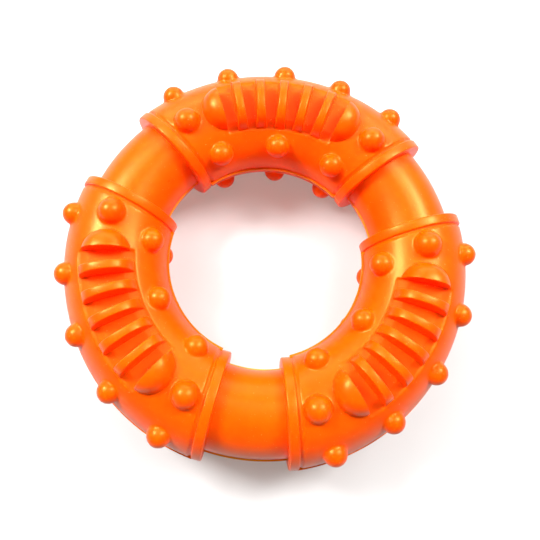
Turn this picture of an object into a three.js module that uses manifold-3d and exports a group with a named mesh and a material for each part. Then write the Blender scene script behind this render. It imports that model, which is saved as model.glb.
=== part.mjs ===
// Dog chew ring of orange natural rubber.
// A plain round core ring carries three raised sleeves. Each sleeve ends in two flat-topped beads,
// has rounded nubs all over, and on its upper and lower side a chew panel: five ribs between two
// half-moons, standing in a shallow recess. The upper and lower halves are mirror copies.
// Millimetres, +Z is the ring's axis, the origin is the ring's centre.

import * as THREE from 'three';
import { mergeVertices } from 'three/addons/utils/BufferGeometryUtils.js';
import Module from 'manifold-3d';

const wasm = await Module();
wasm.setup();

// Ring and tube
const RING_RADIUS = 55.5; // from the ring's axis to the middle of the tube
const CORE_RADIUS = 14.9; // tube radius of the plain core
const SLEEVE_WALL = 3.8; // how far the three sleeves stand out from the core
const SEAM_GAP = 0.3; // clearance between neighbouring forms

// Sleeve ends and their beads
const BEAD_ANGLE = 45.8; // degrees from a sleeve's middle to the middle of its bead
const BEAD_LEAN = 4.7; // degrees that a bead leans, so that it is nearer the sleeve at the hole
const BEAD_WIDTH = 3.5;
const BEAD_RISE = 0.3; // bead's top above the sleeve
const BEAD_EDGE = 0.7; // chamfer of the bead's two rims
const GROOVE_WIDTH = 1.0; // groove between a bead and its sleeve
const GROOVE_DEPTH = 0.6;

// Chew panels
const RIB_COUNT = 5;
const RIB_PITCH = 8.24; // degrees along the ring
const RIB_TOP_WIDTH = 2.7;
const DRAFT = 0.5; // how far each side of a rib stands out from top to foot
const CUT_ANGLE = 23.4; // degrees from the panel's middle to a half-moon's cut side
const PANEL_END_ANGLE = 22.4; // degrees from the panel's middle to the centre of its round end
const PANEL_HALF_WIDTH = 9.35; // half the length of a rib
const HALF_MOON_RADIUS = 8.6;
const PANEL_RISE = 5.7; // top of the ribs above the sleeve
const PANEL_FULLNESS = 2.5; // 2 gives the panel's round profile as an ellipse, more makes it squarer
const RECESS_DEPTH = 1.6; // floor between the ribs, below the sleeve

// Rows of nubs along the ring: on the crown, on the outside and towards the hole.
// A tube angle is counted round the tube from its outer edge, and a pitch in degrees along the ring.
const CROWN_NUB_COUNT = 2;
const CROWN_NUB_PITCH = 74.8;
const CROWN_NUB_RADIUS = 4.6;
const CROWN_NUB_RISE = 4.8; // height above the sleeve
const OUTER_NUB_COUNT = 5;
const OUTER_NUB_PITCH = 17.93;
const OUTER_NUB_TUBE_ANGLE = 33;
const OUTER_NUB_RADIUS = 4.15;
const OUTER_NUB_RISE = 4.05;
const INNER_NUB_COUNT = 3;
const INNER_NUB_PITCH = 29.85;
const INNER_NUB_TUBE_ANGLE = 140.5;
const INNER_NUB_RADIUS = 4.25;
const INNER_NUB_RISE = 4.4;
const NUB_FOOT = 1.6; // how deep the side of a nub is set in the sleeve

// Fineness of the faceted surfaces
const TUBE_SIDES = 20;
const RING_STEPS = 36;
const NUB_SIDES = 9;
const NUB_RINGS = 3;
const RIB_STEPS = 9;
const ARC_STEPS = 12;
const DOME_SIDES = 16;
const DOME_RINGS = 4;

const rad = THREE.MathUtils.degToRad;
const SLEEVE_RADIUS = CORE_RADIUS + SLEEVE_WALL;
const FLOOR_RADIUS = SLEEVE_RADIUS - RECESS_DEPTH;
const TOP = SLEEVE_RADIUS + PANEL_RISE;
const PANEL_SPRING = Math.sqrt(FLOOR_RADIUS ** 2 - PANEL_HALF_WIDTH ** 2); // a rib's foot
const REACH = 2 * (RING_RADIUS + TOP); // longer than the ring, for the cutting blocks
const SLEEVES = [['back', 90], ['left', 210], ['right', 330]];
const SIDES = [['upper', 1], ['lower', -1]];
const ENDS = [['a', 1], ['b', -1]];
const NUB_ROWS = [
	{
		count: CROWN_NUB_COUNT,
		pitch: CROWN_NUB_PITCH,
		tube: 90,
		radius: CROWN_NUB_RADIUS,
		rise: CROWN_NUB_RISE,
	},
	{
		count: OUTER_NUB_COUNT,
		pitch: OUTER_NUB_PITCH,
		tube: OUTER_NUB_TUBE_ANGLE,
		radius: OUTER_NUB_RADIUS,
		rise: OUTER_NUB_RISE,
	},
	{
		count: INNER_NUB_COUNT,
		pitch: INNER_NUB_PITCH,
		tube: INNER_NUB_TUBE_ANGLE,
		radius: INNER_NUB_RADIUS,
		rise: INNER_NUB_RISE,
	},
];

function rubber(name) {
	return new THREE.MeshStandardMaterial({ name, color: 0xf26a12, roughness: 0.45, metalness: 0 });
}

// Booleans
function solid(geometry) {
	const plain = geometry.index ? geometry.toNonIndexed() : geometry.clone();
	plain.deleteAttribute('normal');
	plain.deleteAttribute('uv');
	const merged = mergeVertices(plain, 1e-4);
	return new wasm.Manifold(new wasm.Mesh({
		numProp: 3,
		vertProperties: new Float32Array(merged.attributes.position.array),
		triVerts: new Uint32Array(merged.index.array),
	}));
}

function geometryOf(manifold) {
	const mesh = manifold.getMesh();
	const geometry = new THREE.BufferGeometry();
	geometry.setAttribute('position', new THREE.BufferAttribute(new Float32Array(mesh.vertProperties), 3));
	geometry.setIndex(new THREE.BufferAttribute(new Uint32Array(mesh.triVerts), 1));
	geometry.computeVertexNormals();
	return geometry;
}

// A whole ring of round tube, its facets at the same places whatever its radius
function tubeRing(radius) {
	return solid(new THREE.TorusGeometry(RING_RADIUS, radius, TUBE_SIDES, RING_STEPS));
}

// Moves a shape from a sleeve's own frame, where +X runs out through its middle, to its place
function turned(geometry, degrees) {
	return geometry.rotateZ(rad(degrees));
}

// A block between the middle planes of a sleeve's two beads, each moved towards the sleeve by inset
function sleeveWedge(inset, sleeveDegrees) {
	const middle = rad(BEAD_ANGLE);
	const lean = rad(BEAD_ANGLE + BEAD_LEAN);
	const centre = new THREE.Vector2(RING_RADIUS * Math.cos(middle), RING_RADIUS * Math.sin(middle));
	const along = new THREE.Vector2(Math.cos(lean), Math.sin(lean));
	centre.add(new THREE.Vector2(Math.sin(lean), -Math.cos(lean)).multiplyScalar(inset));
	const apex = centre.clone().addScaledVector(along, -centre.y / along.y);
	const far = centre.clone().addScaledVector(along, REACH);
	const outline = new THREE.Shape([apex, new THREE.Vector2(far.x, -far.y), far]);
	const block = new THREE.ExtrudeGeometry(outline, { depth: REACH, bevelEnabled: false });
	block.translate(0, 0, -REACH / 2);
	return solid(turned(block, sleeveDegrees));
}

// Angle along the ring of one form in an evenly spaced row about a sleeve's middle
function rowAngle(index, count, pitch) {
	return pitch * (index - (count - 1) / 2);
}

// A nub of the given row with its foot set in the tube's surface
function nub(row, along, side, sleeveDegrees) {
	const middle = row.rise - row.radius;
	const foot = middle - NUB_FOOT;
	const profile = [new THREE.Vector2(0, foot), new THREE.Vector2(row.radius, foot)];
	for (let ring = 0; ring < NUB_RINGS; ring += 1) {
		const lift = Math.PI / 2 * ring / NUB_RINGS;
		profile.push(new THREE.Vector2(row.radius * Math.cos(lift), middle + row.radius * Math.sin(lift)));
	}
	profile.push(new THREE.Vector2(0, row.rise));
	const shape = new THREE.LatheGeometry(profile, NUB_SIDES);
	shape.rotateZ(-Math.PI / 2);
	shape.translate(SLEEVE_RADIUS, 0, 0);
	shape.rotateY(-rad(row.tube) * side);
	shape.translate(RING_RADIUS, 0, 0);
	return solid(turned(shape, sleeveDegrees + along));
}

// All nubs of one sleeve
function nubs(sleeveDegrees) {
	const all = [];
	for (const row of NUB_ROWS) {
		for (let i = 0; i < row.count; i += 1) {
			for (const [, side] of SIDES) {
				all.push(nub(row, rowAngle(i, row.count, row.pitch), side, sleeveDegrees));
			}
		}
	}
	return all;
}

// An upright block through the tube with the given plan
function upright(outline, sleeveDegrees) {
	const options = { depth: REACH, bevelEnabled: false, curveSegments: ARC_STEPS };
	const block = new THREE.ExtrudeGeometry(outline, options);
	block.translate(0, 0, -REACH / 2);
	return solid(turned(block, sleeveDegrees));
}

// The recesses of a sleeve's two chew panels, which go round the tube at one depth:
// in plan a stretch of ring for the ribs, and a circle for each half-moon
function recess(sleeveDegrees) {
	const half = PANEL_HALF_WIDTH + SEAM_GAP;
	const cut = rad(CUT_ANGLE);
	const stretch = new THREE.Shape();
	stretch.absarc(0, 0, RING_RADIUS + half, -cut, cut, false);
	stretch.absarc(0, 0, RING_RADIUS - half, cut, -cut, true);
	let plan = upright(stretch, sleeveDegrees);
	for (const [, end] of ENDS) {
		const middle = rad(PANEL_END_ANGLE) * end;
		const round = new THREE.Shape();
		const radius = HALF_MOON_RADIUS + SEAM_GAP;
		round.absarc(RING_RADIUS * Math.cos(middle), RING_RADIUS * Math.sin(middle), radius, 0, 2 * Math.PI);
		plan = plan.add(upright(round, sleeveDegrees));
	}
	return plan.intersect(tubeRing(TOP).subtract(tubeRing(FLOOR_RADIUS)));
}

function sleeve(sleeveDegrees) {
	let body = tubeRing(SLEEVE_RADIUS);
	for (const one of nubs(sleeveDegrees)) {
		body = body.add(one);
	}
	body = body.intersect(sleeveWedge(BEAD_WIDTH / 2 + GROOVE_WIDTH, sleeveDegrees));
	const grooveFloor = tubeRing(SLEEVE_RADIUS - GROOVE_DEPTH)
		.intersect(sleeveWedge(BEAD_WIDTH / 2 + SEAM_GAP, sleeveDegrees));
	const shell = body.add(grooveFloor).subtract(tubeRing(CORE_RADIUS + SEAM_GAP));
	return geometryOf(shell.subtract(recess(sleeveDegrees)));
}

// A flat-topped band round the tube, made about its own leaning axis
function endBead(sleeveDegrees, end) {
	const outer = SLEEVE_RADIUS + BEAD_RISE;
	const half = BEAD_WIDTH / 2;
	const profile = [
		[0, -half], [outer - BEAD_EDGE, -half], [outer, BEAD_EDGE - half],
		[outer, half - BEAD_EDGE], [outer - BEAD_EDGE, half], [0, half],
	].map(([across, along]) => new THREE.Vector2(across, along));
	const shape = new THREE.LatheGeometry(profile, TUBE_SIDES);
	shape.rotateZ(rad(BEAD_LEAN) * end);
	shape.translate(RING_RADIUS, 0, 0);
	const disc = solid(turned(shape, sleeveDegrees + BEAD_ANGLE * end));
	return geometryOf(disc.subtract(tubeRing(CORE_RADIUS + SEAM_GAP)));
}

// Widens a shape that is centred on y = 0 from its top down to the recess floor, as a mould's draft does
function drafted(geometry, topHalfWidth) {
	const position = geometry.attributes.position;
	for (let i = 0; i < position.count; i += 1) {
		const drop = (TOP - position.getZ(i)) / (TOP - FLOOR_RADIUS);
		position.setY(i, Math.sign(position.getY(i)) * (topHalfWidth + DRAFT * drop));
	}
	return geometry;
}

// A point of a round profile across the tube, from its foot at 0 to the panel's top at a quarter turn
function profilePoint(turn, halfWidth) {
	const power = 2 / PANEL_FULLNESS;
	const across = Math.sign(Math.cos(turn)) * Math.abs(Math.cos(turn)) ** power;
	const up = Math.abs(Math.sin(turn)) ** power;
	return new THREE.Vector2(halfWidth * across, PANEL_SPRING + (TOP - PANEL_SPRING) * up);
}

// The profile of a rib, whose middle facet is level and lies at the top: RIB_STEPS is odd
function ribProfile() {
	const points = [];
	for (let step = 0; step <= RIB_STEPS; step += 1) {
		points.push(profilePoint(Math.PI * step / RIB_STEPS, PANEL_HALF_WIDTH));
	}
	points[(RIB_STEPS - 1) / 2].y = TOP;
	points[(RIB_STEPS + 1) / 2].y = TOP;
	points.push(new THREE.Vector2(-PANEL_HALF_WIDTH, 0), new THREE.Vector2(PANEL_HALF_WIDTH, 0));
	return new THREE.Shape(points);
}

function rib(sleeveDegrees, along, side) {
	const shape = new THREE.ExtrudeGeometry(ribProfile(), { depth: 1, bevelEnabled: false });
	shape.translate(0, 0, -0.5);
	shape.rotateX(Math.PI / 2);
	drafted(shape, RIB_TOP_WIDTH / 2);
	shape.translate(RING_RADIUS, 0, 0);
	return place(solid(turned(shape, along)), sleeveDegrees, side);
}

// Half of a dome: round in plan, cut off upright on the side of the ribs
function halfMoon(sleeveDegrees, end, side) {
	const profile = [new THREE.Vector2(0, 0), new THREE.Vector2(HALF_MOON_RADIUS, 0)];
	for (let ring = 0; ring < DOME_RINGS; ring += 1) {
		profile.push(profilePoint(Math.PI / 2 * ring / DOME_RINGS, HALF_MOON_RADIUS));
	}
	profile.push(new THREE.Vector2(0, TOP));
	const dome = new THREE.LatheGeometry(profile, DOME_SIDES);
	dome.rotateX(Math.PI / 2);
	dome.translate(RING_RADIUS, 0, 0);
	const block = new THREE.BoxGeometry(REACH, REACH, REACH);
	block.translate(0, -REACH / 2 * end, 0);
	const shape = solid(turned(dome, PANEL_END_ANGLE * end)).subtract(solid(turned(block, CUT_ANGLE * end)));
	return place(shape, sleeveDegrees, side);
}

// Stands an upper form on the recess floor at its sleeve, or mirrors it to the lower side first
function place(manifold, sleeveDegrees, side) {
	const geometry = geometryOf(manifold.subtract(tubeRing(FLOOR_RADIUS + SEAM_GAP)));
	if (side < 0) geometry.rotateX(Math.PI);
	return turned(geometry, sleeveDegrees);
}

const toy = new THREE.Group();

function add(name, geometry) {
	const mesh = new THREE.Mesh(geometry, rubber('orange_rubber'));
	mesh.name = name;
	toy.add(mesh);
}

function addChewPanel(sleeveName, sleeveDegrees, sideName, side) {
	for (let i = 0; i < RIB_COUNT; i += 1) {
		const along = rowAngle(i, RIB_COUNT, RIB_PITCH);
		add(`rib_${sleeveName}_${sideName}_${i + 1}`, rib(sleeveDegrees, along * side, side));
	}
	for (const [endName, end] of ENDS) {
		add(`half_moon_${sleeveName}_${sideName}_${endName}`, halfMoon(sleeveDegrees, end * side, side));
	}
}

add('core_ring', geometryOf(tubeRing(CORE_RADIUS)));
for (const [sleeveName, sleeveDegrees] of SLEEVES) {
	add(`sleeve_${sleeveName}`, sleeve(sleeveDegrees));
	for (const [endName, end] of ENDS) {
		add(`end_bead_${sleeveName}_${endName}`, endBead(sleeveDegrees, end));
	}
	for (const [sideName, side] of SIDES) {
		addChewPanel(sleeveName, sleeveDegrees, sideName, side);
	}
}

export default toy;
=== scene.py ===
"""Solid rubber chew ring for a dog: a plain core and three sleeves with beads, nubs and ribbed panels.

Metres, +Z is the ring's axis. Each form is modelled once on a sleeve whose middle points along +X,
and its copies are turned to the three sleeves and to their lower sides. Angles are in degrees.
"""

import math

import bmesh
import bpy
from mathutils import Matrix, Vector


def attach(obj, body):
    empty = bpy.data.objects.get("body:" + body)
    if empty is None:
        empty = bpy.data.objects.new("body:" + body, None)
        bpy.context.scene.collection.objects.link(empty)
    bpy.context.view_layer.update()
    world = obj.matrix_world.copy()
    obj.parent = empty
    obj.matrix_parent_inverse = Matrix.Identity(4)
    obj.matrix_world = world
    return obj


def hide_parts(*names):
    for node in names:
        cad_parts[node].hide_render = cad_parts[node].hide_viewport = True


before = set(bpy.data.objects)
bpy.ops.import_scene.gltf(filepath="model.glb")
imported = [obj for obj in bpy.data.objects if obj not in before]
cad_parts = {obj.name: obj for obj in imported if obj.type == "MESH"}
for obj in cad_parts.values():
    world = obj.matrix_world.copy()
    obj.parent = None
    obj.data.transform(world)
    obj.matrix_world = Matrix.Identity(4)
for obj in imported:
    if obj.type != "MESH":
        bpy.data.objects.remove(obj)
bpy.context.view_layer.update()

MM = 0.001

# Ring and sleeves
RING_RADIUS = 55.5 * MM
CORE_RADIUS = 14.9 * MM
SLEEVE_RADIUS = 18.7 * MM
SLEEVES = {"back": 90, "left": 210, "right": 330}
ENDS = {"a": 1, "b": -1}
SINK = 0.3 * MM  # how deep a form's foot is set in the form that carries it
BORE_OVERLAP = 0.1 * MM  # how far a sleeve's inside reaches into the core

# Beads at the sleeves' ends, and the groove beside each
BEAD_ANGLE = 45.8
BEAD_LEAN = 4.7
BEAD_WIDTH = 3.5 * MM
BEAD_RISE = 0.3 * MM
GROOVE_WIDTH = 1.0 * MM
GROOVE_DEPTH = 0.6 * MM
GROOVE_RUN_IN = 0.8 * MM  # how far the groove's floor goes on under the bead

# Chew panels: ribs between two half-moons, over a recess
RIB_COUNT = 5
RIB_PITCH = 8.24
RIB_TOP_WIDTH = 2.7 * MM
DRAFT = 0.5 * MM
CUT_ANGLE = 23.4
PANEL_END_ANGLE = 22.4
PANEL_HALF_WIDTH = 9.35 * MM
HALF_MOON_RADIUS = 8.6 * MM
PANEL_TOP = SLEEVE_RADIUS + 5.7 * MM
FLOOR_RADIUS = SLEEVE_RADIUS - 1.6 * MM
PANEL_SPRING = math.sqrt(FLOOR_RADIUS**2 - PANEL_HALF_WIDTH**2)  # height of a rib's foot at its ends
PROFILE_FULLNESS = 1.245  # how much longer a profile's handles are than an ellipse's
RECESS_SPLAY = 0.35  # how far a recess wall leans out for each unit of height
RECESS_INSET = 0.4 * MM  # how far its wall stands inside the ribs' ends, at the height of their foot
CUTTER_RISE = 9 * MM  # how far a recess cutter reaches above the ribs' foot
DEEP_CUT = 3 * MM  # how far it reaches below their foot where it cuts the sleeve's outer form

# Rows of nubs: count, pitch along the ring, angle round the tube, radius and rise
NUB_ROWS = [
    (2, 74.8, 90, 4.6 * MM, 4.8 * MM),
    (5, 17.93, 33, 4.15 * MM, 4.05 * MM),
    (3, 29.85, 140.5, 4.25 * MM, 4.4 * MM),
]
NUB_FOOT_LENGTH = 2.2 * MM
NUB_FOOT_TOP = 0.2 * MM  # above the sleeve's skin
NUB_FOOT_FLARE = (1.1, 0.98)  # radius of the foot's lower and upper end, over the nub's

# Thin raised line that the mould's two halves leave at half height
OUTER_RIDGE = 0.75 * MM
HOLE_RIDGE = 0.35 * MM
STRIP_WIDTH = 1.2 * MM
STRIP_THICKNESS = 0.7 * MM
STRIP_RUN_IN = 0.1 * MM  # how far a sleeve's strip goes on under the bead
PARTING_REACH = 0.425 * MM  # how far the painted highlight along it reaches up and down

# Rounded edges
SLEEVE_ROUNDING = 0.6 * MM
BEAD_ROUNDING = 0.55 * MM
RIB_ROUNDING = 0.32 * MM
HALF_MOON_ROUNDING = 0.22 * MM
SMOOTH_ANGLE = 35  # edges that turn by less are shaded smooth

SKIN_CELL = 0.44 * MM
SKIN_SMOOTHING = 7

# Colours of the rubber, 0 to 255
ORANGE = (255, 82, 0)
CLOUD_ORANGE = (255, 91, 0)
MOTTLE_ORANGE = (255, 104, 4)
SPECK_ORANGE = (255, 170, 100)
# Painted highlight: a paler orange along the parting line, in place of the light that the thin flash
# catches
PARTING_HIGHLIGHT_ORANGE = (255, 158, 40)
SHEEN = (255, 224, 125)

# Share that mottling and specks have in the colour
MOTTLE_SHARE = 0.25
SPECK_SHARE = 0.4

# Roughness of the rubber, its spread with the mottling, and how much rougher the recess floors are
SATIN = 0.3
SATIN_SPREAD = 0.1
RECESS_MATT = 0.3
MATT_BELOW_SLEEVE = 0.35 * MM  # depth under the sleeve's skin from which a floor is matt
MATT_ABOVE_CORE = 0.3 * MM  # height over the core's top from which it can be matt

# Pale floor and white room
FLOOR_SIZE = 6
FLOOR_GREY = 0.58
BOUNCE_GREY = 0.42  # for all but the camera, so that little light comes back up to the toy
FLOOR_GLOW = 0.26  # for the camera alone, because the photograph is very bright
GLOW_TINT = (1, 0.93, 0.86, 1)
WHITE = (1, 1, 1, 1)
HORIZON_START = 0.3  # distance from the toy's middle at which the floor starts to turn white
HORIZON_SLOPE = 1.5
GLOSSY_WHITE = 0.2  # what glossy rays see more of floor and room
ROOM_LIGHT = 0.1

# Lamps: name, azimuth and elevation, distance, sides and watts
LAMPS = [
    ("small_left", 159, 46, 0.64, (0.2, 0.2), 5.6),
    ("small_right", 34, 46, 0.77, (0.2, 0.2), 4.15),
    ("window_back", 90, 27, 1.0, (1.4, 0.5), 6.1),
    ("large_left", 140, 60, 1.1, (0.5, 0.5), 3.6),
    ("large_right", 40, 60, 1.1, (0.5, 0.5), 6.9),
]

PHOTO_SIZE = 540
SENSOR = 36  # millimetres, as Blender takes it


def rad(degrees):
    return math.radians(degrees)


def about_z(degrees):
    return Matrix.Rotation(rad(degrees), 4, "Z")


FLIP = Matrix.Rotation(rad(180), 4, "X")


def add_camera():
    """Camera at the photograph's place, as worked out from the toy's outline there."""
    elevation = rad(75.47)
    roll = rad(4.89)
    turn = 1.15
    distance = 204.97 * MM
    aim = Vector((-2.78 * MM, 6.24 * MM, 0))
    focal, centre_x, centre_y = 540.1, -10.28, -27.0  # in the photograph's pixels
    back = Vector((0, -math.cos(elevation), math.sin(elevation)))
    right = Vector((1, 0, 0))
    up = back.cross(right)
    rolled_right = right * math.cos(roll) + up * math.sin(roll)
    rolled_up = up * math.cos(roll) - right * math.sin(roll)
    place = Matrix((rolled_right, rolled_up, back)).transposed().to_4x4()
    place.translation = aim + back * distance
    data = bpy.data.cameras.new("photo_camera")
    camera = bpy.data.objects.new("photo_camera", data)
    bpy.context.scene.collection.objects.link(camera)
    camera.matrix_world = about_z(turn) @ place
    data.sensor_width = SENSOR
    data.lens = SENSOR * focal / PHOTO_SIZE
    data.shift_x = -centre_x / PHOTO_SIZE
    data.shift_y = centre_y / PHOTO_SIZE
    data.clip_start = 0.01
    data.clip_end = 10
    bpy.context.scene.camera = camera


add_camera()


class Signal:
    """A shader's socket, on which + - and * add Math nodes."""

    def __init__(self, shop, socket):
        self.shop = shop
        self.socket = socket

    def join(self, operation, first, second, **settings):
        settings["operation"] = operation
        return self.shop.node("ShaderNodeMath", settings, {0: first, 1: second})[0]

    def __add__(self, other):
        return self.join("ADD", self, other)

    def __radd__(self, other):
        return self.join("ADD", other, self)

    def __sub__(self, other):
        return self.join("SUBTRACT", self, other)

    def __rsub__(self, other):
        return self.join("SUBTRACT", other, self)

    def __mul__(self, other):
        return self.join("MULTIPLY", self, other)

    def __rmul__(self, other):
        return self.join("MULTIPLY", other, self)

    def __abs__(self):
        return self.join("ABSOLUTE", self, 0)

    def ramp(self, start, slope):
        """Rises by slope from 0 at start, or falls to 0 there where slope is below 0, within 0 to 1."""
        return self.join("MULTIPLY", self - start, slope, use_clamp=True)


class Shop:
    """The node tree of one material or world."""

    def __init__(self, tree):
        self.tree = tree
        tree.nodes.clear()

    def node(self, kind, settings=None, inputs=None):
        """Adds a node with its settings, then its inputs, which are values or Signals."""
        made = self.tree.nodes.new(kind)
        for name, value in (settings or {}).items():
            setattr(made, name, value)
        for name, value in (inputs or {}).items():
            if isinstance(value, Signal):
                self.tree.links.new(value.socket, made.inputs[name])
            else:
                made.inputs[name].default_value = value
        return [Signal(self, socket) for socket in made.outputs]

    def place(self):
        """Object coordinates."""
        return self.node("ShaderNodeTexCoord")[3]

    def rays(self):
        """Whether the ray is the camera's, and whether it is a glossy one."""
        outputs = self.node("ShaderNodeLightPath")
        return outputs[0], outputs[3]

    def length(self, vector):
        return self.node("ShaderNodeVectorMath", {"operation": "LENGTH"}, {0: vector})[1]

    def reach(self, first, second):
        """Distance from 0 of a point with these two coordinates."""
        return self.length(self.node("ShaderNodeCombineXYZ", inputs={"X": first, "Y": second})[0])

    def mixed(self, share, first, second):
        """Goes from the first colour to the second with the share."""
        return self.node("ShaderNodeMix", {"data_type": "RGBA"}, {0: share, 6: first, 7: second})[2]

    def noise(self, place, scale, detail):
        inputs = {"Vector": place, "Scale": scale, "Detail": detail}
        return self.node("ShaderNodeTexNoise", inputs=inputs)[0]


def colour(shade):
    """An sRGB colour, 0 to 255, as the linear colour that shaders take."""
    linear = []
    for value in shade:
        part = value / 255
        linear.append(part / 12.92 if part <= 0.04045 else ((part + 0.055) / 1.055) ** 2.4)
    return (*linear, 1)


def grey(value):
    return (value, value, value, 1)


def rubber_material():
    """Satin natural rubber: warm orange with faint clouds, a fine moulded grain and a few pale specks.

    It has a painted highlight along the parting line, and is matt on the recess floors.
    """
    material = bpy.data.materials.new("orange_rubber")
    material.use_nodes = True
    shop = Shop(material.node_tree)
    place = shop.place()
    clouds = shop.noise(place, scale=70, detail=2).ramp(0.35, 2.2)
    mottle = shop.noise(place, scale=450, detail=3)
    grain = shop.noise(place, scale=5200, detail=2)
    specks = shop.noise(place, scale=1500, detail=1).ramp(0.735, 30)
    across, along, height = shop.node("ShaderNodeSeparateXYZ", inputs={"Vector": place})
    # Painted highlight along the parting line: the colour turns paler within PARTING_REACH of half
    # height
    parting_highlight = abs(height).ramp(PARTING_REACH, -4 / MM)
    body = shop.mixed(clouds, colour(ORANGE), colour(CLOUD_ORANGE))
    body = shop.mixed(mottle.ramp(0.45, 2) * MOTTLE_SHARE, body, colour(MOTTLE_ORANGE))
    body = shop.mixed(specks * SPECK_SHARE, body, colour(SPECK_ORANGE))
    body = shop.mixed(parting_highlight, body, colour(PARTING_HIGHLIGHT_ORANGE))
    tube_radius = shop.reach(shop.reach(across, along) - RING_RADIUS, height)
    below_sleeve = tube_radius.ramp(SLEEVE_RADIUS - MATT_BELOW_SLEEVE, -5 / MM)
    above_core = abs(height).ramp(CORE_RADIUS + MATT_ABOVE_CORE, 3 / MM)
    roughness = SATIN + (mottle - 0.5) * SATIN_SPREAD + below_sleeve * above_core * RECESS_MATT
    relief = grain * 0.6 + mottle * 0.4
    bump = shop.node(
        "ShaderNodeBump", inputs={"Strength": 0.12, "Distance": 0.1 * MM, "Height": relief}
    )[0]
    surface = shop.node(
        "ShaderNodeBsdfPrincipled",
        inputs={
            "Base Color": body,
            "Roughness": roughness,
            "IOR": 1.45,
            "Specular Tint": colour(SHEEN),
            "Subsurface Weight": 0.35,
            "Subsurface Radius": (1.0, 0.15, 0.03),
            "Subsurface Scale": 2.5 * MM,
            "Normal": bump,
        },
    )[0]
    shop.node("ShaderNodeOutputMaterial", inputs={"Surface": surface})
    return material


RUBBER = rubber_material()


# Modelling helpers
def pick(obj):
    bpy.ops.object.select_all(action="DESELECT")
    obj.select_set(True)
    bpy.context.view_layer.objects.active = obj


def edit(obj):
    pick(obj)
    bpy.ops.object.mode_set(mode="EDIT")
    bpy.ops.mesh.select_all(action="SELECT")


def leave_edit():
    bpy.ops.object.mode_set(mode="OBJECT")


def select_vertices(obj, test):
    bpy.ops.mesh.select_mode(type="VERT")
    mesh = bmesh.from_edit_mesh(obj.data)
    for vertex in mesh.verts:
        vertex.select = bool(test(vertex.co))
    mesh.select_flush_mode()
    bmesh.update_edit_mesh(obj.data)


def select_faces(obj, test):
    bpy.ops.mesh.select_mode(type="FACE")
    mesh = bmesh.from_edit_mesh(obj.data)
    for face in mesh.faces:
        face.select = bool(test(face))
    bmesh.update_edit_mesh(obj.data)


def select_open_edges(obj):
    bpy.ops.mesh.select_mode(type="EDGE")
    mesh = bmesh.from_edit_mesh(obj.data)
    for edge in mesh.edges:
        edge.select = edge.is_boundary
    bmesh.update_edit_mesh(obj.data)


def settle():
    """Bakes the active object's place into its mesh."""
    bpy.ops.object.transform_apply(location=True, rotation=True, scale=True)


def modify(obj, kind, **settings):
    """Adds a modifier with its settings and applies it."""
    pick(obj)
    modifier = obj.modifiers.new(kind.lower(), kind)
    for name, value in settings.items():
        setattr(modifier, name, value)
    bpy.ops.object.modifier_apply(modifier=modifier.name)


def round_edges(obj, width, segments, angle):
    """Rounds the edges that turn by more than angle."""
    modify(obj, "BEVEL", width=width, segments=segments, limit_method="ANGLE", angle_limit=rad(angle))


def close_skin():
    bpy.ops.mesh.select_all(action="SELECT")
    bpy.ops.mesh.remove_doubles(threshold=1e-6)
    bpy.ops.mesh.normals_make_consistent(inside=False)


def cut_away(obj, point, normal):
    """Removes what lies beyond a plane, on the side of its normal, and closes the cut."""
    edit(obj)
    bpy.ops.mesh.bisect(plane_co=point, plane_no=normal, clear_outer=True, use_fill=True)
    leave_edit()


def remove(obj):
    bpy.data.objects.remove(obj)


def subtract(obj, cutter):
    modify(obj, "BOOLEAN", operation="DIFFERENCE", object=cutter, solver="EXACT")


def joined(pieces):
    bpy.ops.object.select_all(action="DESELECT")
    for piece in pieces:
        piece.select_set(True)
    bpy.context.view_layer.objects.active = pieces[0]
    bpy.ops.object.join()
    return pieces[0]


def tube_ring(radius, sides, steps):
    bpy.ops.mesh.primitive_torus_add(
        major_radius=RING_RADIUS,
        minor_radius=radius,
        major_segments=steps,
        minor_segments=sides,
        location=(0, 0, 0),
        rotation=(0, 0, 0),
    )
    return bpy.context.active_object


def tube_section(radius):
    """The tube's open round outline at the middle of the sleeve."""
    bpy.ops.mesh.primitive_circle_add(
        vertices=96,
        radius=radius,
        fill_type="NOTHING",
        location=(RING_RADIUS, 0, 0),
        rotation=(rad(90), 0, 0),
    )
    settle()
    return bpy.context.active_object


def upright_plate(radius, height, width, tall):
    """A flat plate across the tube at the middle of the sleeve, about a point at radius and height."""
    bpy.ops.mesh.primitive_plane_add(size=1, location=(radius, 0, height), rotation=(rad(90), 0, 0))
    plate = bpy.context.active_object
    plate.scale = (width, tall, 1)
    settle()
    return plate


def spin(degrees, steps):
    """Spins the selected outline about the ring's axis, from +X to +Y. Blender turns the other way."""
    bpy.ops.mesh.spin(steps=steps, angle=-rad(degrees), center=(0, 0, 0), axis=(0, 0, 1))


def sweep(outline, half_angle, steps):
    """Spins an outline at the middle of the sleeve along the ring, by half_angle to either side."""
    outline.data.transform(about_z(-half_angle))
    edit(outline)
    spin(2 * half_angle, steps)
    close_skin()
    leave_edit()


def tube_stretch(radius):
    """A solid length of tube about the sleeve's middle, a little longer than the sleeve."""
    stretch = tube_section(radius)
    sweep(stretch, BEAD_ANGLE + BEAD_LEAN, 120)
    edit(stretch)
    select_open_edges(stretch)
    bpy.ops.mesh.edge_face_add()
    close_skin()
    leave_edit()
    return stretch


def trim_ends(stretch, inset):
    """Cuts both ends along the beads' leaning planes, moved by inset towards the sleeve's middle."""
    for end in ENDS.values():
        lean = rad(BEAD_ANGLE + BEAD_LEAN)
        outward = Vector((-math.sin(lean), math.cos(lean) * end, 0))
        middle = about_z(BEAD_ANGLE * end) @ Vector((RING_RADIUS, 0, 0))
        cut_away(stretch, middle - outward * inset, outward)
    return stretch


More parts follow.
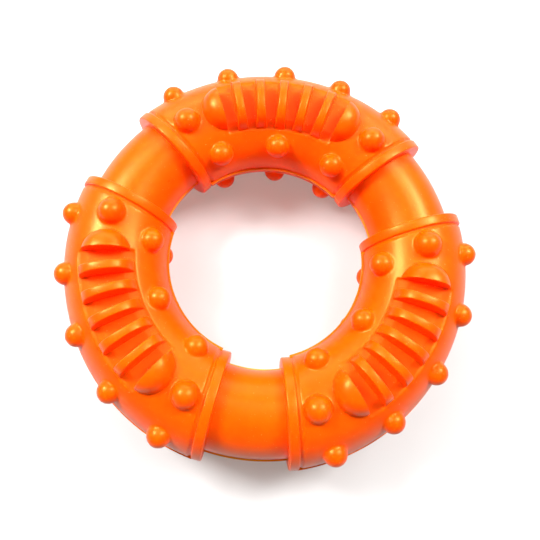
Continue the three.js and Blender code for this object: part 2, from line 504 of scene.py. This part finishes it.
# Forms
def core_ring():
    """Plain round core, with the ridge of the parting line round its outside and its hole."""
    core = tube_section(CORE_RADIUS)
    for side, ridge in ((1, OUTER_RIDGE), (-1, HOLE_RIDGE)):
        tip = RING_RADIUS + side * CORE_RADIUS
        edit(core)
        # The edges beside the tip are divided, and the tip alone is drawn out
        select_vertices(core, lambda co: abs(co.x - tip) < 0.2 * MM)
        bpy.ops.mesh.subdivide(number_cuts=2)
        select_vertices(core, lambda co: abs(co.x - tip) < 0.005 * MM and abs(co.z) < 0.1 * MM)
        bpy.ops.transform.translate(value=(side * ridge, 0, 0))
        leave_edit()
    edit(core)
    spin(360, 240)
    close_skin()
    leave_edit()
    return core


def bead_master():
    """Flat-topped band with well rounded rims, on the tube's own axis at the ring's centre."""
    outer = SLEEVE_RADIUS + BEAD_RISE
    bpy.ops.mesh.primitive_cylinder_add(
        vertices=160, radius=outer, depth=BEAD_WIDTH, location=(0, 0, 0), rotation=(rad(90), 0, 0)
    )
    bead = bpy.context.active_object
    settle()
    edit(bead)
    # Both flat ends are inset as far as the bore, and the insets are bridged
    select_faces(bead, lambda face: abs(face.normal.y) > 0.9)
    bpy.ops.mesh.inset(thickness=outer - CORE_RADIUS + SINK)
    bpy.ops.mesh.bridge_edge_loops()
    close_skin()
    leave_edit()
    round_edges(bead, BEAD_ROUNDING, segments=4, angle=50)
    return bead


def panel_profile(half_width):
    """Profile of a panel's form across the tube, upright at its foot and fuller than an ellipse."""
    bpy.ops.curve.primitive_bezier_circle_add(radius=1, location=(0, 0, 0), rotation=(0, 0, 0))
    profile = bpy.context.active_object
    profile.data.resolution_u = 20
    for point in profile.data.splines[0].bezier_points:
        point.handle_left_type = "FREE"
        point.handle_right_type = "FREE"
        point.handle_left = point.co + (point.handle_left - point.co) * PROFILE_FULLNESS
        point.handle_right = point.co + (point.handle_right - point.co) * PROFILE_FULLNESS
    profile.scale = (half_width, PANEL_TOP - PANEL_SPRING, 1)
    profile.rotation_euler = (rad(90), 0, 0)
    bpy.ops.object.convert(target="MESH")
    profile = bpy.context.active_object
    settle()
    return profile


def rib_master(floor_tube):
    """One rib in the middle of a panel, widening from its top to its foot."""
    rib = panel_profile(PANEL_HALF_WIDTH)
    low = PANEL_TOP - PANEL_SPRING
    foot_half_width = RIB_TOP_WIDTH / 2 + DRAFT * 2 * low / (PANEL_TOP - FLOOR_RADIUS)
    edit(rib)
    bpy.ops.transform.translate(value=(0, -foot_half_width, low))
    bpy.ops.mesh.edge_face_add()
    bpy.ops.mesh.extrude_region_move(TRANSFORM_OT_translate={"value": (0, 2 * foot_half_width, 0)})
    close_skin()
    leave_edit()
    narrowing = RIB_TOP_WIDTH / 2 / foot_half_width - 1
    modify(
        rib, "SIMPLE_DEFORM", deform_method="TAPER", deform_axis="Z", factor=narrowing, lock_x=True
    )
    round_edges(rib, RIB_ROUNDING, segments=3, angle=50)
    rib.location = (RING_RADIUS, 0, PANEL_SPRING - low)
    pick(rib)
    settle()
    subtract(rib, floor_tube)
    return rib


def half_moon_master(floor_tube, end):
    """Half-moon at one end of a panel: a dome of the ribs' profile, cut off beside the ribs."""
    dome = panel_profile(HALF_MOON_RADIUS)
    edit(dome)
    bpy.ops.mesh.bisect(plane_co=(0, 0, 0), plane_no=(1, 0, 0), clear_inner=True)
    bpy.ops.mesh.select_all(action="SELECT")
    spin(360, 96)
    close_skin()
    leave_edit()
    dome.location = about_z(PANEL_END_ANGLE * end) @ Vector((RING_RADIUS, 0, PANEL_SPRING))
    pick(dome)
    settle()
    turn = about_z(CUT_ANGLE * end)
    cut_away(dome, turn @ Vector((RING_RADIUS, 0, PANEL_TOP)), turn @ Vector((0, -end, 0)))
    round_edges(dome, HALF_MOON_ROUNDING, segments=3, angle=40)
    subtract(dome, floor_tube)
    return dome


def nub_form(radius, rise, tube_angle, side, along):
    """A ball on a short foot, at its place on a sleeve."""
    bpy.ops.mesh.primitive_uv_sphere_add(
        segments=40, ring_count=24, radius=radius, location=(0, 0, rise - radius)
    )
    ball = bpy.context.active_object
    settle()
    lower, upper = NUB_FOOT_FLARE
    bpy.ops.mesh.primitive_cone_add(
        vertices=40,
        radius1=radius * lower,
        radius2=radius * upper,
        depth=NUB_FOOT_LENGTH,
        location=(0, 0, NUB_FOOT_TOP - NUB_FOOT_LENGTH / 2),
    )
    foot = bpy.context.active_object
    settle()
    nub = joined([ball, foot])
    stand = Matrix.Rotation(rad(90), 4, "Y")
    climb = Matrix.Rotation(-rad(tube_angle) * side, 4, "Y")
    out = Matrix.Translation((SLEEVE_RADIUS, 0, 0))
    to_ring = Matrix.Translation((RING_RADIUS, 0, 0))
    nub.data.transform(about_z(along) @ to_ring @ climb @ out @ stand)
    return nub


def recess_cutter(side, low):
    """A block along the ribs of one side, from the height low outwards, with splayed walls."""
    high = PANEL_SPRING + CUTTER_RISE
    # One metre wide at first, so that the factor of each resize is a width
    cutter = upright_plate(RING_RADIUS, (low + high) / 2, 1, high - low)
    edit(cutter)
    for height in (low, high):
        half = PANEL_HALF_WIDTH - RECESS_INSET + (height - PANEL_SPRING) * RECESS_SPLAY
        select_vertices(cutter, lambda co: abs(co.z - height) < 1 * MM)
        bpy.ops.transform.resize(value=(2 * half, 1, 1), center_override=(RING_RADIUS, 0, height))
    leave_edit()
    sweep(cutter, CUT_ANGLE, 48)
    if side < 0:
        cutter.data.transform(FLIP)
    return cutter


def parting_strip(side):
    """Thin strip that the parting line leaves along a sleeve, at its outer edge or at the hole."""
    strip = upright_plate(RING_RADIUS + side * SLEEVE_RADIUS, 0, STRIP_WIDTH, STRIP_THICKNESS)
    sweep(strip, BEAD_ANGLE + BEAD_LEAN, 120)
    return trim_ends(strip, BEAD_WIDTH / 2 - STRIP_RUN_IN)


def sleeve_master():
    """Sleeve with its nubs and recesses, fused and softened into one skin as rubber is in a mould.

    The outer form is cut deep at the panels. The floor there and in the grooves is a slimmer tube
    inside it, which is cut flat in the middle of the panels.
    """
    outer = trim_ends(tube_stretch(SLEEVE_RADIUS), BEAD_WIDTH / 2 + GROOVE_WIDTH)
    round_edges(outer, SLEEVE_ROUNDING, segments=4, angle=60)
    groove = trim_ends(tube_stretch(SLEEVE_RADIUS - GROOVE_DEPTH), BEAD_WIDTH / 2 - GROOVE_RUN_IN)
    for side in (1, -1):
        for form, low in ((outer, PANEL_SPRING - DEEP_CUT), (groove, FLOOR_RADIUS)):
            cutter = recess_cutter(side, low)
            subtract(form, cutter)
            remove(cutter)
    forms = [outer, groove]
    for count, pitch, tube_angle, radius, rise in NUB_ROWS:
        for index in range(count):
            for side in (1, -1):
                along = pitch * (index - (count - 1) / 2)
                forms.append(nub_form(radius, rise, tube_angle, side, along))
    sleeve = joined(forms)
    sleeve.data.remesh_voxel_size = SKIN_CELL
    pick(sleeve)
    bpy.ops.object.voxel_remesh()
    modify(sleeve, "SMOOTH", factor=0.5, iterations=SKIN_SMOOTHING)
    bore = tube_ring(CORE_RADIUS - BORE_OVERLAP, 64, 144)
    subtract(sleeve, bore)
    remove(bore)
    return joined([sleeve, parting_strip(1), parting_strip(-1)])


# Pieces
def place_copy(master, name, turn):
    copy = bpy.data.objects.new(name, master.data.copy())
    bpy.context.scene.collection.objects.link(copy)
    copy.data.transform(turn)
    finish_piece(copy, name)


def finish_piece(piece, name):
    node = name.removeprefix("rubber_")
    piece.name = name
    piece.data.name = name
    piece.data.materials.clear()
    piece.data.materials.append(RUBBER)
    pick(piece)
    bpy.ops.object.shade_smooth_by_angle(angle=rad(SMOOTH_ANGLE))
    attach(piece, "root")
    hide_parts(node)


def build_toy():
    bpy.ops.object.select_all(action="DESELECT")
    finish_piece(core_ring(), "rubber_core_ring")
    floor_tube = tube_ring(FLOOR_RADIUS - SINK, 96, 288)
    rib = rib_master(floor_tube)
    moons = {end: half_moon_master(floor_tube, sign) for end, sign in ENDS.items()}
    remove(floor_tube)
    bead = bead_master()
    sleeve = sleeve_master()
    for sleeve_name, angle in SLEEVES.items():
        turn = about_z(angle)
        place_copy(sleeve, f"rubber_sleeve_{sleeve_name}", turn)
        for end, sign in ENDS.items():
            lean = Matrix.Translation((RING_RADIUS, 0, 0)) @ about_z(BEAD_LEAN * sign)
            at_end = turn @ about_z(BEAD_ANGLE * sign) @ lean
            place_copy(bead, f"rubber_end_bead_{sleeve_name}_{end}", at_end)
        for index in range(RIB_COUNT):
            along = about_z(RIB_PITCH * (index - (RIB_COUNT - 1) / 2))
            number = index + 1
            place_copy(rib, f"rubber_rib_{sleeve_name}_upper_{number}", turn @ along)
            place_copy(rib, f"rubber_rib_{sleeve_name}_lower_{number}", turn @ along @ FLIP)
        for end, other in (("a", "b"), ("b", "a")):
            place_copy(moons[end], f"rubber_half_moon_{sleeve_name}_upper_{end}", turn)
            place_copy(moons[other], f"rubber_half_moon_{sleeve_name}_lower_{end}", turn @ FLIP)
    for master in (rib, bead, sleeve, *moons.values()):
        remove(master)


build_toy()


def white_floor():
    """Pale floor, which keeps the toy's soft shadow.

    It glows for the camera, and a little for glossy rays. What the camera sees of the glow rises to
    white far from the toy, so that no horizon shows.
    """
    bpy.ops.mesh.primitive_plane_add(size=FLOOR_SIZE, location=(0, 0, -PANEL_TOP))
    floor = bpy.context.active_object
    floor.name = "floor"
    material = bpy.data.materials.new("white_floor")
    material.use_nodes = True
    shop = Shop(material.node_tree)
    camera_ray, glossy_ray = shop.rays()
    pale = shop.mixed(camera_ray, grey(BOUNCE_GREY), grey(FLOOR_GREY))
    matte = shop.node("ShaderNodeBsdfDiffuse", inputs={"Color": pale})[0]
    far = shop.length(shop.place()).ramp(HORIZON_START, HORIZON_SLOPE)
    tint = shop.mixed(far, GLOW_TINT, WHITE)
    strength = camera_ray * (FLOOR_GLOW + far * (1 - FLOOR_GLOW)) + glossy_ray * GLOSSY_WHITE
    glow = shop.node("ShaderNodeEmission", inputs={"Color": tint, "Strength": strength})[0]
    both = shop.node("ShaderNodeAddShader", inputs={0: matte, 1: glow})[0]
    shop.node("ShaderNodeOutputMaterial", inputs={"Surface": both})
    floor.data.materials.append(material)


def white_room():
    """Soft even light from all round, which the camera sees as white."""
    world = bpy.data.worlds.new("white_room")
    world.use_nodes = True
    shop = Shop(world.node_tree)
    camera_ray, glossy_ray = shop.rays()
    strength = camera_ray * (1 - ROOM_LIGHT) + glossy_ray * GLOSSY_WHITE + ROOM_LIGHT
    sky = shop.node("ShaderNodeBackground", inputs={"Color": WHITE, "Strength": strength})[0]
    shop.node("ShaderNodeOutputWorld", inputs={"Surface": sky})
    bpy.context.scene.world = world


def softbox(name, azimuth, elevation, distance, sides, watts):
    data = bpy.data.lights.new(name, "AREA")
    data.shape = "RECTANGLE"
    data.size, data.size_y = sides
    data.energy = watts
    lamp = bpy.data.objects.new(name, data)
    bpy.context.scene.collection.objects.link(lamp)
    away = about_z(azimuth) @ Matrix.Rotation(-rad(elevation), 4, "Y") @ Vector((1, 0, 0))
    lamp.location = away * distance
    lamp.rotation_mode = "QUATERNION"
    lamp.rotation_quaternion = away.to_track_quat("Z", "Y")


white_floor()
white_room()
for lamp_row in LAMPS:
    softbox(*lamp_row)

view_settings = bpy.context.scene.view_settings
view_settings.view_transform = "Standard"
